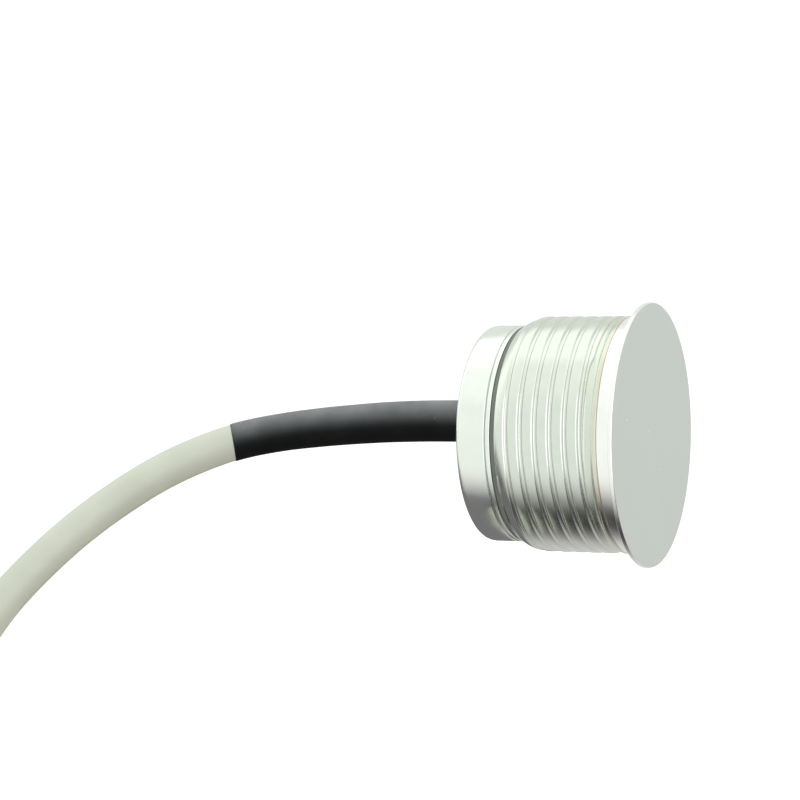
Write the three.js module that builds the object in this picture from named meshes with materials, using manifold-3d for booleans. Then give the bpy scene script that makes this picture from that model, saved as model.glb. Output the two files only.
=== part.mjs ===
// Threaded ultrasonic distance probe with a potted lead, in millimetres.
// +X is the probe's axis, out through the sensing face; +Z is up.
// The origin is on the axis, in the plane where the flange seats on a panel.
import * as THREE from 'three';
import { mergeVertices } from 'three/addons/utils/BufferGeometryUtils.js';
import Module from 'manifold-3d';

const wasm = await Module();
wasm.setup();

// ---- driving dimensions ----
const flange = { radius: 13.9, thickness: 0.45, edge: 0.07 };
const body = { radius: 12.5, bore: 10.6, faceWall: 1.0, end: -13.1, endRadius: 11.75 };
const land = { end: -1.68, line: 0.12, ridgeEnd: -2.2 };
const relief = { end: -2.93, depth: 0.22, ramp: 0.12 };
const thread = { pitch: 1.597, first: -3.55, count: 6, halfWidth: 0.27, root: 0.24, flat: 0.05 };
const leadIn = { start: -11.0, lastRow: -12.4 };
const cap = {
  radius: 11.56, front: -13.5, rear: -17.4, round: 0.9, lip: 0.44, slit: 0.22, slitDepth: 0.2,
  spigotFront: -11.9, spigotRadius: 10.5, cavityRadius: 9.3, cavityRear: -15.9,
};
const outlet = { z: 1.25, radius: 2.5 };
const board = { front: -7.1, thickness: 1.0, radius: 10.3 };
const cable = { radius: 2.0, sides: 10 };
const sleeve = { radius: 2.2, bore: 1.9, inside: -15.2, length: 32.3 };
const entry = { radius: 1.6, front: -13.4 };
const core = { radius: 0.33, tailRadius: 0.5, sides: 8 };
const coil = {
  x: -52.4, y: -0.8, laneZ: -53.4, outerLane: 25.7, pitch: 4.2, turns: 2, slack: 0.1,
  startDeg: -90, topFromDeg: 768, jacketEndDeg: 838,
};
const plug = {
  length: 8, width: 9.8, height: 4.6, pitch: 2, cavity: 1.6, contact: 0.9, contactFrom: 2.2, contactTo: 7.2,
  rib: 0.9, ribSide: 3.6, skewDeg: 4,
};
const gap = 0.3;
const snug = 0.05;
const roundSides = 56;
const innerSides = 32;

// Centre line of the lead, from the outlet to where it comes down onto its coil.
const leadRoute = [
  [-15.2, 0, 1.25], [-19.5, 0, 1.25], [-23.7, 0, 1.21], [-28.4, -0.08, 1.08], [-33.0, -0.56, 0.78],
  [-37.5, -1.44, 0.36], [-41.8, -2.7, -0.22], [-45.9, -4.32, -1.12], [-49.8, -6.3, -2.62],
  [-53.6, -8.61, -4.68], [-57.1, -11.25, -7.32], [-60.5, -14.21, -10.5], [-63.5, -17.48, -14.2],
  [-66.3, -20.95, -18.6], [-68.5, -23.8, -23.7], [-69.9, -25.75, -29.4], [-70.35, -26.5, -35.4],
  [-69.3, -26.5, -41.6], [-66.2, -26.5, -47.0], [-63.5, -26.5, -49.55],
];

// ---- materials ----
function finish(color, roughness, metalness) {
  return new THREE.MeshStandardMaterial({ color, roughness, metalness });
}

const materials = {
  aluminium: finish(0xe3e9e0, 0.32, 1.0),
  seal: finish(0x5c6259, 0.7, 0),
  ceramic: finish(0xd9cdb4, 0.6, 0),
  epoxy: finish(0xb89a5a, 0.35, 0),
  silicone: finish(0xe8e6df, 0.55, 0),
  cork: finish(0x8e6b45, 0.9, 0),
  laminate: finish(0x1d5c36, 0.45, 0),
  chip: finish(0x1b1b1d, 0.5, 0),
  ferrite: finish(0x35332f, 0.7, 0.1),
  copper: finish(0xb06a35, 0.35, 1),
  tin: finish(0xc4c6c6, 0.35, 1),
  potting: finish(0x23211f, 0.4, 0),
  blackSleeve: finish(0x151516, 0.75, 0),
  jacket: finish(0xdfe2d4, 0.5, 0),
  redWire: finish(0xa9231d, 0.5, 0),
  blackWire: finish(0x1a1a1a, 0.5, 0),
  yellowWire: finish(0xd8b21c, 0.5, 0),
  whiteWire: finish(0xe8e8e4, 0.5, 0),
  nylon: finish(0xece9de, 0.45, 0),
};
const coreColours = [materials.redWire, materials.blackWire, materials.yellowWire, materials.whiteWire];

const probe = new THREE.Group();

function add(name, geometry, material) {
  const mesh = new THREE.Mesh(geometry, material);
  mesh.name = name;
  probe.add(mesh);
  return mesh;
}

// ---- solids ----
// A solid turned about the X axis from [x, radius] points.
function turned(points, sides = roundSides) {
  const profile = points.map(([x, radius]) => new THREE.Vector2(Math.max(radius, 0), x));
  const geometry = new THREE.LatheGeometry(profile, sides).rotateZ(-Math.PI / 2);
  return facingOut(geometry);
}

function ring(x0, x1, inner, outer, sides = roundSides) {
  return turned([[x0, inner], [x0, outer], [x1, outer], [x1, inner], [x0, inner]], sides);
}

function disc(x0, x1, radius, sides = roundSides) {
  return turned([[x0, 0], [x0, radius], [x1, radius], [x1, 0]], sides);
}

function block(x0, x1, y, z, width, height) {
  return new THREE.BoxGeometry(Math.abs(x1 - x0), width, height).translate((x0 + x1) / 2, y, z);
}

// Signed volume tells which way the triangles face; they are flipped when it is negative.
function facingOut(geometry) {
  const { position } = geometry.attributes;
  const index = geometry.index;
  const [a, b, c] = [new THREE.Vector3(), new THREE.Vector3(), new THREE.Vector3()];
  let volume = 0;
  for (let i = 0; i < index.count; i += 3) {
    a.fromBufferAttribute(position, index.getX(i));
    b.fromBufferAttribute(position, index.getX(i + 1));
    c.fromBufferAttribute(position, index.getX(i + 2));
    volume += a.dot(b.cross(c));
  }
  if (volume < 0) {
    for (let i = 0; i < index.count; i += 3) {
      const first = index.getX(i);
      index.setX(i, index.getX(i + 2));
      index.setX(i + 2, first);
    }
  }
  return geometry;
}

function toSolid(geometry) {
  const bare = geometry.clone();
  bare.deleteAttribute('normal');
  bare.deleteAttribute('uv');
  const merged = mergeVertices(bare, 1e-4);
  const triVerts = withoutSlivers(merged.index.array);
  const vertProperties = new Float32Array(merged.attributes.position.array);
  return new wasm.Manifold(new wasm.Mesh({ numProp: 3, vertProperties, triVerts }));
}

// Triangles that collapse on the axis are dropped.
function withoutSlivers(index) {
  const kept = [];
  for (let i = 0; i < index.length; i += 3) {
    const [a, b, c] = [index[i], index[i + 1], index[i + 2]];
    if (a !== b && b !== c && c !== a) kept.push(a, b, c);
  }
  return new Uint32Array(kept);
}

function fromSolid(solid) {
  const { vertProperties, triVerts } = solid.getMesh();
  const geometry = new THREE.BufferGeometry();
  geometry.setAttribute('position', new THREE.BufferAttribute(new Float32Array(vertProperties), 3));
  geometry.setIndex(new THREE.BufferAttribute(new Uint32Array(triVerts), 1));
  geometry.computeVertexNormals();
  return geometry;
}

function cut(geometry, ...tools) {
  return fromSolid(tools.reduce((solid, tool) => solid.subtract(toSolid(tool)), toSolid(geometry)));
}

function join(geometry, ...others) {
  return fromSolid(others.reduce((solid, other) => solid.add(toSolid(other)), toSolid(geometry)));
}

// A round bar or tube swept along a curve.
function swept(curve, radius, { sides = core.sides, steps = 12, bore = 0 } = {}) {
  const section = polygon(radius, sides);
  if (bore > 0) section.holes.push(polygon(bore, sides));
  return new THREE.ExtrudeGeometry(section, { steps, extrudePath: curve, bevelEnabled: false });
}

function polygon(radius, sides) {
  const points = [];
  for (let i = 0; i < sides; i += 1) {
    const angle = (2 * Math.PI * i) / sides;
    points.push(new THREE.Vector2(radius * Math.cos(angle), radius * Math.sin(angle)));
  }
  return new THREE.Shape(points);
}

function smoothLine(points) {
  return new THREE.CatmullRomCurve3(points.map((p) => new THREE.Vector3(...p)), false, 'centripetal');
}

// ---- housing ----
// Crest radius of the thread: full size, then rounding down to the open rear end.
function crestRadius(x) {
  if (x > leadIn.start) return body.radius;
  const t = (leadIn.start - x) / (leadIn.start - body.end);
  return body.radius - (body.radius - body.endRadius) * t ** 1.6;
}

function threadGroove(centre) {
  const { halfWidth, flat, root } = thread;
  return [
    [centre + halfWidth, crestRadius(centre + halfWidth)],
    [centre + flat, crestRadius(centre) - root],
    [centre - flat, crestRadius(centre) - root],
    [centre - halfWidth, crestRadius(centre - halfWidth)],
  ];
}

function makeHousing() {
  const face = flange.thickness;
  const reliefRadius = body.radius - relief.depth;
  const outside = [
    [face, 0], [face, flange.radius - flange.edge], [face - flange.edge, flange.radius],
    [0, flange.radius], [0, body.radius],
    [land.end, body.radius], [land.end - land.line / 2, body.radius - land.line],
    [land.end - land.line, body.radius], [land.ridgeEnd, body.radius],
    [land.ridgeEnd - relief.ramp, reliefRadius], [relief.end + relief.ramp, reliefRadius],
    [relief.end, body.radius],
  ];
  const grooves = [];
  for (let k = 0; k < thread.count; k += 1) {
    grooves.push(...threadGroove(thread.first - k * thread.pitch));
  }
  const rearEnd = [
    [leadIn.lastRow, crestRadius(leadIn.lastRow)], [body.end, body.endRadius], [body.end, body.bore],
    [face - body.faceWall, body.bore], [face - body.faceWall, 0],
  ];
  add('housing', turned([...outside, ...grooves, ...rearEnd]), materials.aluminium);
}

// ---- rear cap and seal ----
function makeRearCap() {
  const lipEnd = cap.front - cap.lip;
  const slitEnd = lipEnd - cap.slit;
  const corner = [0, 30, 60, 90].map((deg) => {
    const angle = THREE.MathUtils.degToRad(deg);
    return [cap.rear + cap.round * (1 - Math.sin(angle)), cap.radius - cap.round * (1 - Math.cos(angle))];
  });
  const profile = [
    [cap.spigotFront, cap.cavityRadius], [cap.spigotFront, cap.spigotRadius],
    [cap.front, cap.spigotRadius], [cap.front, cap.radius], [lipEnd, cap.radius],
    [(lipEnd + slitEnd) / 2, cap.radius - cap.slitDepth], [slitEnd, cap.radius],
    ...corner, [cap.rear, 0], [cap.cavityRear, 0], [cap.cavityRear, cap.cavityRadius],
    [cap.spigotFront, cap.cavityRadius],
  ];
  const hole = disc(cap.cavityRear + 1, cap.rear - 1, outlet.radius, 24).translate(0, 0, outlet.z);
  add('rear_cap', cut(turned(profile), hole), materials.aluminium);
  const seal = ring(cap.front + snug, body.end - snug, cap.spigotRadius + snug, body.endRadius - 0.4);
  add('joint_seal', seal, materials.seal);
}

// ---- sensing stack behind the face ----
const piezo = { radius: 6.5, front: -0.8, thickness: 2.0, leadY: 5.2, leadRadius: 0.25 };
const pad = { front: -3.1, thickness: 1.8, radius: 10.3, holeRadius: 0.8 };

function makeSensingStack() {
  const wall = flange.thickness - body.faceWall;
  const piezoRear = piezo.front - piezo.thickness;
  add('bond_layer', disc(wall - snug, piezo.front + snug, piezo.radius, innerSides), materials.epoxy);
  add('piezo_disc', disc(piezo.front, piezoRear, piezo.radius, innerSides), materials.ceramic);
  const centring = ring(wall - snug, piezoRear + 0.2, piezo.radius + gap, body.bore - gap, innerSides);
  add('centring_ring', centring, materials.silicone);
  const padRear = pad.front - pad.thickness;
  const holes = [1, -1].map((side) => (
    disc(pad.front + 1, padRear - 1, pad.holeRadius, 16).translate(0, side * piezo.leadY, 0)
  ));
  add('damping_pad', cut(disc(pad.front, padRear, pad.radius, innerSides), ...holes), materials.cork);
  const spacer = ring(padRear - snug, board.front + snug, 9.0, body.bore - gap, innerSides);
  add('spacer_ring', spacer, materials.nylon);
  [1, -1].forEach((side, i) => {
    const line = smoothLine([
      [piezoRear - snug, side * piezo.leadY, 0], [-4.0, side * piezo.leadY, 0],
      [-5.6, side * (piezo.leadY + 0.6), 0.5], [board.front + snug, side * (piezo.leadY + 1.4), 0.9],
    ]);
    const lead = swept(line, piezo.leadRadius, { steps: 8 });
    add(`piezo_lead_${i + 1}`, lead, i ? materials.blackWire : materials.redWire);
  });
}

// ---- circuit board and the parts soldered to it ----
const frontParts = [
  { name: 'microcontroller', y: 0, z: 4.2, width: 5, height: 5, depth: 0.9, material: 'chip' },
  { name: 'resistor_1', y: -5.2, z: 4.4, width: 1.25, height: 2, depth: 0.5, material: 'chip' },
  { name: 'resistor_2', y: 5.2, z: 4.4, width: 1.25, height: 2, depth: 0.5, material: 'chip' },
  { name: 'capacitor_1', y: -5.2, z: -3.6, width: 1.25, height: 2, depth: 0.9, material: 'ceramic' },
  { name: 'capacitor_2', y: 5.2, z: -3.6, width: 1.25, height: 2, depth: 0.9, material: 'ceramic' },
];
const rearParts = [
  { name: 'crystal', y: 5.2, z: -4.6, width: 5, height: 3.2, depth: 1.2, material: 'tin' },
  { name: 'drive_transistor', y: 0.8, z: -8.0, width: 4.5, height: 2.5, depth: 1.5, material: 'chip' },
  { name: 'resistor_3', y: -6.8, z: 3.4, width: 2, height: 1.25, depth: 0.5, material: 'chip' },
  { name: 'resistor_4', y: -6.8, z: 5.4, width: 2, height: 1.25, depth: 0.5, material: 'chip' },
];

function makeBoard() {
  const rear = board.front - board.thickness;
  add('circuit_board', disc(board.front, rear, board.radius, innerSides), materials.laminate);
  for (const part of frontParts) {
    const x0 = board.front + snug;
    add(part.name, block(x0, x0 + part.depth, part.y, part.z, part.width, part.height),
      materials[part.material]);
  }
  for (const part of rearParts) {
    const x0 = rear - snug;
    add(part.name, block(x0, x0 - part.depth, part.y, part.z, part.width, part.height),
      materials[part.material]);
  }
  makeAmplifier();
  makeTransformer(rear - snug);
  // Electrolytic capacitor: a can with a groove rolled in near its base.
  const can = turned([[0, 0], [0, 2.1], [-0.9, 2.1], [-1.1, 1.9], [-1.3, 2.1], [-3.8, 2.1], [-3.8, 0]], 32);
  add('capacitor_3', can.translate(rear - snug, 5.2, 1.6), materials.tin);
}

// Eight-legged amplifier chip: a body with four legs down each side.
function makeAmplifier() {
  const foot = board.front + snug;
  const chip = { z: -3.6, length: 4.9, width: 3.9, standOff: 0.15, top: 1.6 };
  const leg = { pitch: 1.27, out: 2.35, width: 0.42, length: 1.3, height: 0.8 };
  const legs = [];
  for (const side of [1, -1]) {
    for (let k = 0; k < 4; k += 1) {
      const z = chip.z + side * leg.out;
      legs.push(block(foot, foot + leg.height, (k - 1.5) * leg.pitch, z, leg.width, leg.length));
    }
  }
  const chipBody = block(foot + chip.standOff, foot + chip.top, 0, chip.z, chip.length, chip.width);
  add('amplifier_chip', join(chipBody, ...legs), materials.chip);
}

// Drum-cored transformer that drives the ceramic: core and winding.
function makeTransformer(seat) {
  const drum = { height: 3.4, radius: 3.0, waist: 1.4, cheek: 0.7, y: -4.6, z: -3.4 };
  const far = seat - drum.height;
  const drumCore = turned([
    [seat, 0], [seat, drum.radius], [seat - drum.cheek, drum.radius], [seat - drum.cheek, drum.waist],
    [far + drum.cheek, drum.waist], [far + drum.cheek, drum.radius], [far, drum.radius], [far, 0],
  ], 32);
  add('transformer_core', drumCore.translate(0, drum.y, drum.z), materials.ferrite);
  const clear = 0.1;
  const from = seat - drum.cheek - clear;
  const to = far + drum.cheek + clear;
  const wound = ring(from, to, drum.waist + clear, drum.radius - gap, 32);
  add('transformer_winding', wound.translate(0, drum.y, drum.z), materials.copper);
}

// ---- lead: entry, cores, potting, sleeve ----
const coreSpots = [[-0.7, 0.7], [0.7, 0.7], [-0.7, -0.7], [0.7, -0.7]];
const padGrid = { z: 7.2, spread: 1.6 };

// Four cores rise from their pads on the board and gather at the end of the jacket.
function makeInnerCores() {
  const start = board.front - board.thickness - snug;
  const end = entry.front + gap;
  coreSpots.forEach(([dy, dz], i) => {
    const at = (x, along) => {
      const spread = THREE.MathUtils.lerp(padGrid.spread, 1, along);
      return [x, dy * spread, THREE.MathUtils.lerp(padGrid.z, outlet.z, along) + dz * spread];
    };
    const line = smoothLine([
      at(start, 0), at(start - 1.0 - dz, 0), at(start - 3.1 - dz, 0.5), at(end + 0.4, 1), at(end, 1),
    ]);
    add(`core_wire_${i + 1}`, swept(line, core.radius, { steps: 12 }), coreColours[i]);
  });
}

const pottingFront = -12.9;

function makePotting() {
  const front = pottingFront;
  const rear = cap.cavityRear + snug;
  const throat = disc(front + 1, rear - 1, entry.radius + gap, 24).translate(0, 0, outlet.z);
  const seat = disc(sleeve.inside + gap, rear - 1, outlet.radius, 24).translate(0, 0, outlet.z);
  add('potting_plug', cut(disc(front, rear, cap.cavityRadius - snug), throat, seat), materials.potting);
}

// The stretch of the lead's route between two lengths from its first point.
function routePart(from, to, points) {
  const curve = smoothLine(leadRoute);
  const total = curve.getLength();
  const part = [];
  for (let i = 0; i <= points; i += 1) {
    const length = from + ((to - from) * i) / points;
    part.push(curve.getPointAt(Math.min(length / total, 1)).toArray());
  }
  return smoothLine(part);
}

function makeLead() {
  const total = smoothLine(leadRoute).getLength();
  const hidden = [entry.front, 0, outlet.z];
  const throughCap = [hidden, ...routePart(0, sleeve.length - gap, 12).points.map((p) => p.toArray())];
  add('lead_entry', swept(smoothLine(throughCap), entry.radius, { steps: 16 }), materials.jacket);
  const covered = routePart(0, sleeve.length, 14);
  const cover = swept(covered, sleeve.radius, { sides: 14, steps: 16, bore: sleeve.bore });
  add('strain_sleeve', cover, materials.blackSleeve);
  const free = routePart(sleeve.length + gap, total, 20);
  add('cable', swept(free, cable.radius, { sides: cable.sides, steps: 24 }), materials.jacket);
}

// ---- coil, its end and its plug ----
const ringTop = coil.laneZ + cable.radius;

function onCoil(deg, radius, z) {
  const angle = THREE.MathUtils.degToRad(deg);
  return [coil.x + radius * Math.cos(angle), coil.y + radius * Math.sin(angle), z];
}

// Middle of the two lanes that lie under the top strand at an angle of the third turn.
function topRadius(deg) {
  const turnsDone = (deg - coil.startDeg) / 360 - coil.turns;
  return coil.outerLane - coil.pitch * (turnsDone + 0.5);
}

function makeCoil() {
  const outer = coil.outerLane + cable.radius + coil.slack;
  const inner = coil.outerLane - coil.turns * coil.pitch - cable.radius - coil.slack;
  const bottom = coil.laneZ - cable.radius;
  const section = [[inner, bottom], [outer, bottom], [outer, ringTop], [inner, ringTop], [inner, bottom]];
  const points = section.map(([radius, z]) => new THREE.Vector2(radius, z));
  const hoop = new THREE.LatheGeometry(points, 64).rotateX(Math.PI / 2).translate(coil.x, coil.y, 0);
  add('cable_coil', facingOut(hoop), materials.jacket);
}

function arcOnTop(fromDeg, toDeg, z, count) {
  const points = [];
  for (let i = 0; i <= count; i += 1) {
    const deg = fromDeg + ((toDeg - fromDeg) * i) / count;
    points.push(onCoil(deg, topRadius(deg), z));
  }
  return points;
}

const topZ = ringTop + gap + cable.radius;
const degPerMm = 360 / (2 * Math.PI * topRadius(coil.jacketEndDeg));
const endSleeve = { radius: 2.15, bore: 1.75, length: 7 };
const tailCore = { length: 19, intoPlug: 1.5, bundle: 0.62 };

function makeTail() {
  const tail = smoothLine(arcOnTop(coil.topFromDeg, coil.jacketEndDeg, topZ, 8));
  add('cable_tail', swept(tail, cable.radius, { sides: cable.sides, steps: 8 }), materials.jacket);
  const from = coil.jacketEndDeg + gap * degPerMm;
  const cover = smoothLine(arcOnTop(from, from + endSleeve.length * degPerMm, topZ, 4));
  const tube = swept(cover, endSleeve.radius, { sides: 14, steps: 5, bore: endSleeve.bore });
  add('jacket_end_sleeve', tube, materials.blackSleeve);
}

// Cores leave the jacket as a square bundle and fan out to the plug's row of cavities.
function makeTailCores() {
  const from = coil.jacketEndDeg + gap * degPerMm;
  const plugZ = ringTop + gap + plug.height / 2;
  const steps = 8;
  const straight = (endSleeve.length + 1) / tailCore.length;
  for (let k = 0; k < 4; k += 1) {
    const bundleR = (k < 2 ? -1 : 1) * tailCore.bundle;
    const bundleZ = (k % 2 ? -1 : 1) * tailCore.bundle;
    const rowR = (k - 1.5) * plug.pitch;
    const points = [];
    for (let i = 0; i <= steps; i += 1) {
      const t = i / steps;
      const fan = THREE.MathUtils.smoothstep(t, straight, 0.9);
      const deg = from + t * tailCore.length * degPerMm;
      const radius = topRadius(deg) + bundleR * (1 - fan) + rowR * fan;
      points.push(onCoil(deg, radius, topZ + bundleZ * (1 - fan) + (plugZ - topZ) * fan));
    }
    add(`tail_core_${k + 1}`, swept(smoothLine(points), core.tailRadius, { steps: 12 }), coreColours[k]);
  }
}

// The plug is made lying along +X with its wire end at x = 0, then set down on the coil.
function makePlug() {
  const endDeg = coil.jacketEndDeg + (gap + tailCore.length - tailCore.intoPlug) * degPerMm;
  const cavities = [];
  for (let k = 0; k < 4; k += 1) {
    cavities.push(block(-1, plug.length + 1, (1.5 - k) * plug.pitch, 0, plug.cavity, plug.cavity));
  }
  const shell = block(0, plug.length, 0, 0, plug.width, plug.height);
  const ribs = [1, -1].map((side) => (
    block(1, plug.length - 3, side * plug.ribSide, plug.height / 2, plug.rib, plug.rib)
  ));
  const place = (mesh) => {
    mesh.position.set(...onCoil(endDeg, topRadius(endDeg), ringTop + gap + plug.height / 2));
    mesh.rotation.z = THREE.MathUtils.degToRad(endDeg + 90 + plug.skewDeg);
  };
  place(add('connector_housing', cut(join(shell, ...ribs), ...cavities), materials.nylon));
  for (let k = 0; k < 4; k += 1) {
    const y = (1.5 - k) * plug.pitch;
    const contact = block(plug.contactFrom, plug.contactTo, y, 0, plug.contact, plug.contact);
    place(add(`connector_contact_${k + 1}`, contact, materials.tin));
  }
}

// A flat tie round both lanes and the strand on top of them, across the coil's +Y side.
function makeTie() {
  const tie = { width: 2.6, thickness: 0.5, slack: 0.1 };
  const outer = coil.outerLane + cable.radius + coil.slack + tie.slack;
  const innerLane = coil.outerLane - coil.turns * coil.pitch;
  const inner = innerLane - cable.radius - coil.slack - tie.slack;
  const low = coil.laneZ - cable.radius - tie.slack;
  const high = topZ + cable.radius + tie.slack;
  const shape = new THREE.Shape(loopOutline(inner - tie.thickness, outer + tie.thickness,
    low - tie.thickness, high + tie.thickness, 2.4));
  shape.holes.push(new THREE.Path(loopOutline(inner, outer, low, high, 2.0)));
  const band = new THREE.ExtrudeGeometry(shape, { depth: tie.width, bevelEnabled: false });
  band.translate(0, 0, -tie.width / 2).applyMatrix4(new THREE.Matrix4().makeBasis(
    new THREE.Vector3(0, 1, 0), new THREE.Vector3(0, 0, 1), new THREE.Vector3(1, 0, 0),
  ));
  add('coil_tie', band.translate(coil.x, coil.y, 0), materials.blackSleeve);
}

// A rectangle in the (radius, z) plane whose two top corners are cut off at 45 degrees.
function loopOutline(inner, outer, low, high, chamfer) {
  return [
    [inner, low], [outer, low], [outer, high - chamfer], [outer - chamfer, high],
    [inner + chamfer, high], [inner, high - chamfer],
  ].map(([radius, z]) => new THREE.Vector2(radius, z));
}

makeHousing();
makeRearCap();
makeSensingStack();
makeBoard();
makeInnerCores();
makePotting();
makeLead();
makeCoil();
makeTail();
makeTailCores();
makePlug();
makeTie();

export default probe;
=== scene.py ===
import math

import bmesh
import bpy
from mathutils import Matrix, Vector, noise


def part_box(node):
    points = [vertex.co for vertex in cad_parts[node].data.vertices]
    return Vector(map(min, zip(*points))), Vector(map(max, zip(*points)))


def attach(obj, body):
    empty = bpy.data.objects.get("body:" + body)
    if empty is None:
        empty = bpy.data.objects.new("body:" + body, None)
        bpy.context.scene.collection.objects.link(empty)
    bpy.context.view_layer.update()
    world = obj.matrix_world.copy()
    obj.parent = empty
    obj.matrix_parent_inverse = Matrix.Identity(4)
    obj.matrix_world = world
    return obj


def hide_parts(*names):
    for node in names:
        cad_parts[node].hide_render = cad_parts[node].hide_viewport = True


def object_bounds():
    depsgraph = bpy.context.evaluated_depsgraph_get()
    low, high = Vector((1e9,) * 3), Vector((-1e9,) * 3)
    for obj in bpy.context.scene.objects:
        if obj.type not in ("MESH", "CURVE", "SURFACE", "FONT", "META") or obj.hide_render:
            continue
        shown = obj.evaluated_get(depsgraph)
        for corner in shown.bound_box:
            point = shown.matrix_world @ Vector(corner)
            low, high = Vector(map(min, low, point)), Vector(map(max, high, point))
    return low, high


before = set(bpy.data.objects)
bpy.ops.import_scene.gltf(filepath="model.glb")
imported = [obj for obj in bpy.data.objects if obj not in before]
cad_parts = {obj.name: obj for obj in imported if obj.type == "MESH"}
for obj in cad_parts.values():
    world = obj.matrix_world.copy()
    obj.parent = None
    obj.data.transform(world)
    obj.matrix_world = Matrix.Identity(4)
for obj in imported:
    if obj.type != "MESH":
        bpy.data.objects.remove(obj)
cadBox = [list(corner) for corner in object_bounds()]
mm = 0.001
print("frame loaded:", len(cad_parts), "nodes")


# camera
cameraLook = {
    "place": (0.074986, -0.238476, 0.008606),
    "tiltDeg": 88.864,
    "turnDeg": 23.449,
    "lens": 106.91,
    "sensorWidth": 36.0,
    "nearest": 0.01,
}


def makeCamera(look):
    data = bpy.data.cameras.new("camera")
    data.lens = look["lens"]
    data.sensor_width = look["sensorWidth"]
    data.clip_start = look["nearest"]
    camera = bpy.data.objects.new("camera", data)
    camera.location = look["place"]
    camera.rotation_euler = (math.radians(look["tiltDeg"]), 0, math.radians(look["turnDeg"]))
    bpy.context.scene.collection.objects.link(camera)
    bpy.context.scene.camera = camera


makeCamera(cameraLook)
bpy.context.scene.view_settings.view_transform = "Standard"


# small helpers
def mix(a, b, t):
    return a + (b - a) * t


def ease(value, low, high):
    t = min(max((value - low) / (high - low), 0.0), 1.0)
    return t * t * (3 - 2 * t)


def asObject(name, mesh):
    data = bpy.data.meshes.new(name)
    mesh.to_mesh(data)
    mesh.free()
    piece = bpy.data.objects.new(name, data)
    bpy.context.scene.collection.objects.link(piece)
    return piece


meshCare = {"joinDistance": 2e-6, "sharpDeg": 40}


def finishMesh(name, mesh):
    # joins doubled points, turns faces outward and marks crisp edges
    bmesh.ops.remove_doubles(mesh, verts=mesh.verts, dist=meshCare["joinDistance"])
    bmesh.ops.recalc_face_normals(mesh, faces=mesh.faces)
    for face in mesh.faces:
        face.smooth = True
    for edge in mesh.edges:
        if len(edge.link_faces) == 2 and edge.calc_face_angle(0) > math.radians(meshCare["sharpDeg"]):
            edge.smooth = False
    return asObject(name, mesh)


def alongAxis(x, radius, angle):
    return (x, radius * math.cos(angle), radius * math.sin(angle))


def turnedPiece(name, outline, columns, place=alongAxis):
    # outline gives the same number of (along, radius) points at every angle
    mesh = bmesh.new()
    grid = []
    for i in range(columns + 1):
        angle = 2 * math.pi * i / columns
        grid.append([mesh.verts.new(place(along, radius, angle)) for along, radius in outline(angle)])
    for left, right in zip(grid, grid[1:]):
        for j in range(len(left) - 1):
            mesh.faces.new((left[j], left[j + 1], right[j + 1], right[j]))
    return finishMesh(name, mesh)


def softCorners(points, steps=4):
    # each point is (along, radius, rounding); a rounded corner becomes a short curve
    soft = []
    for i, (x, r, rounding) in enumerate(points):
        if rounding == 0 or i in (0, len(points) - 1):
            soft.append((x, r))
            continue
        here = Vector((x, r))
        before = Vector(points[i - 1][:2]) - here
        after = Vector(points[i + 1][:2]) - here
        start = here + before.normalized() * min(rounding, before.length * 0.49)
        end = here + after.normalized() * min(rounding, after.length * 0.49)
        for k in range(steps + 1):
            t = k / steps
            soft.append(tuple(start * (1 - t) ** 2 + here * 2 * t * (1 - t) + end * t * t))
    return soft


def scaled(points):
    return [(x * mm, r * mm) for x, r in points]


# the lead's route
leadRoute = [
    (-0.0152, 0, 0.00125), (-0.0195, 0, 0.00125), (-0.0237, 0, 0.00121), (-0.0284, -0.00008, 0.00108),
    (-0.0330, -0.00056, 0.00078), (-0.0375, -0.00144, 0.00036), (-0.0418, -0.00270, -0.00022),
    (-0.0459, -0.00432, -0.00112), (-0.0498, -0.00630, -0.00262), (-0.0536, -0.00861, -0.00468),
    (-0.0571, -0.01125, -0.00732), (-0.0605, -0.01421, -0.01050), (-0.0635, -0.01748, -0.01420),
    (-0.0663, -0.02095, -0.01860), (-0.0685, -0.02380, -0.02370), (-0.0699, -0.02575, -0.02940),
    (-0.07035, -0.0265, -0.03540), (-0.0693, -0.0265, -0.04160), (-0.0662, -0.0265, -0.04700),
    (-0.0635, -0.0265, -0.04955),
]
coil = {
    "centre": (-0.0524, -0.0008),
    "laneHeight": -0.0534,      # centre of the turns that lie on the floor
    "topHeight": -0.0491,       # centre of the strand that lies on them
    "outerLane": 0.0257,
    "pitch": 0.0042,
    "turns": 2,
    "landingBend": 0.0177,      # radius of the bend that lays the lead down
    "landingDeg": (26, 13),     # where on that bend the route has its points
    "startDeg": -90,
    "climbDeg": (630, 722),
    "shiftDeg": (664, 768),
    "jacketEndDeg": 838,
    "stepDeg": 12,
}


pathSteps = 4       # pieces between two points of a route


def onCoil(deg, radius, height):
    angle = math.radians(deg)
    x, y = coil["centre"]
    return Vector((x + radius * math.cos(angle), y + radius * math.sin(angle), height))


def topRadius(deg):
    turnsDone = (deg - coil["startDeg"]) / 360 - coil["turns"]
    return coil["outerLane"] - coil["pitch"] * (turnsDone + 0.5)


def coilPoint(deg):
    laneRadius = coil["outerLane"] - coil["pitch"] * (deg - coil["startDeg"]) / 360
    climbed = ease(deg, *coil["climbDeg"])
    shifted = ease(deg, *coil["shiftDeg"])
    height = mix(coil["laneHeight"], coil["topHeight"], climbed)
    return onCoil(deg, mix(laneRadius, topRadius(deg), shifted), height)


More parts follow.
